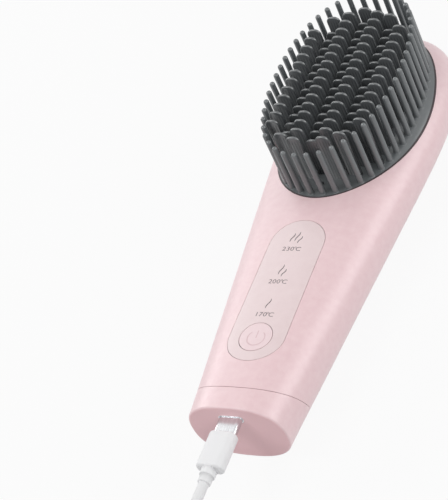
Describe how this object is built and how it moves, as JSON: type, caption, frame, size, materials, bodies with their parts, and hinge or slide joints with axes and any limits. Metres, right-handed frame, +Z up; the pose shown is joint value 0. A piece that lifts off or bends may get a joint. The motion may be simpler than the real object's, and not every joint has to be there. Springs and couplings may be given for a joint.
{
  "type": "heated styling brush",
  "caption": "Cordless heated styling brush: tapered pink body, oval field of dark pins and fins, control panel with power button, charging port in the base with its cable.",
  "frame": {"origin": "on the surface that the brush lies on, under the middle of its length and width", "axes": "+Y from the base face to the head, +Z up, the way the bristles point, +X to the right seen from the front with the head up"},
  "size_m": [0.077, 0.3162, 0.0444],
  "materials": {
    "pink_shell": "satin",
    "pink_base": "satin",
    "panel_skin": "satin",
    "button_skin": "satin",
    "grey_nylon": "matte",
    "ceramic_coat": "satin",
    "hot_aluminium": "milled",
    "heater_ceramic": "matte",
    "mica": "matte",
    "frame_plastic": "matte",
    "screw_steel": "zinc plated",
    "sensor_glass": "matte",
    "fuse_metal": "satin",
    "ion_box": "matte",
    "cell_sleeve": "satin",
    "nickel": "satin",
    "chassis_plastic": "matte",
    "board_green": "satin",
    "switch_black": "matte",
    "led_lens": "gloss",
    "socket_steel": "satin",
    "plug_white": "satin",
    "cable_white": "satin",
    "tie_white": "matte"
  },
  "bodies": {
    "brush": {"body_shell": "pink_shell", "base_cap": "pink_base", "control_panel": "panel_skin", "bristle_plate": "grey_nylon", "ring_pins": "grey_nylon", "comb_fins": "grey_nylon", "heat_fins": "ceramic_coat", "heating_plate": "hot_aluminium", "ceramic_heater": "heater_ceramic", "insulation_sheet": "mica", "heater_frame": "frame_plastic", "heater_screws": "screw_steel", "thermistor": "sensor_glass", "thermal_fuse": "fuse_metal", "ion_generator": "ion_box", "ion_needles": "screw_steel", "battery_cell": "cell_sleeve", "battery_tabs": "nickel", "chassis": "chassis_plastic", "control_board": "board_green", "board_screws": "screw_steel", "tact_switch": "switch_black", "indicator_leds": "led_lens", "charging_board": "board_green", "usb_socket_shell": "socket_steel", "usb_socket_tongue": "switch_black"},
    "button": {"power_button": "button_skin", "switch_plunger": "switch_black"},
    "cable": {"usb_plug_shell": "socket_steel", "usb_plug_body": "plug_white", "plug_boot": "cable_white", "cable_lead": "cable_white", "cable_coil": "cable_white", "cable_tie": "tie_white", "cable_tail": "cable_white", "usb_a_body": "plug_white", "usb_a_shell": "socket_steel"}
  },
  "joints": [
    {"name": "power_press", "type": "slide", "parent": "brush", "child": "button", "axis": [0, 0, -1], "range_m": [0, 0.0005], "stiffness_N_per_m": 1500, "springref_m": -0.0003},
    {"name": "cable_unplug", "type": "slide", "parent": "brush", "child": "cable", "axis": [0, -1, 0], "range_m": [-0.0059, 0.03]}
  ]
}
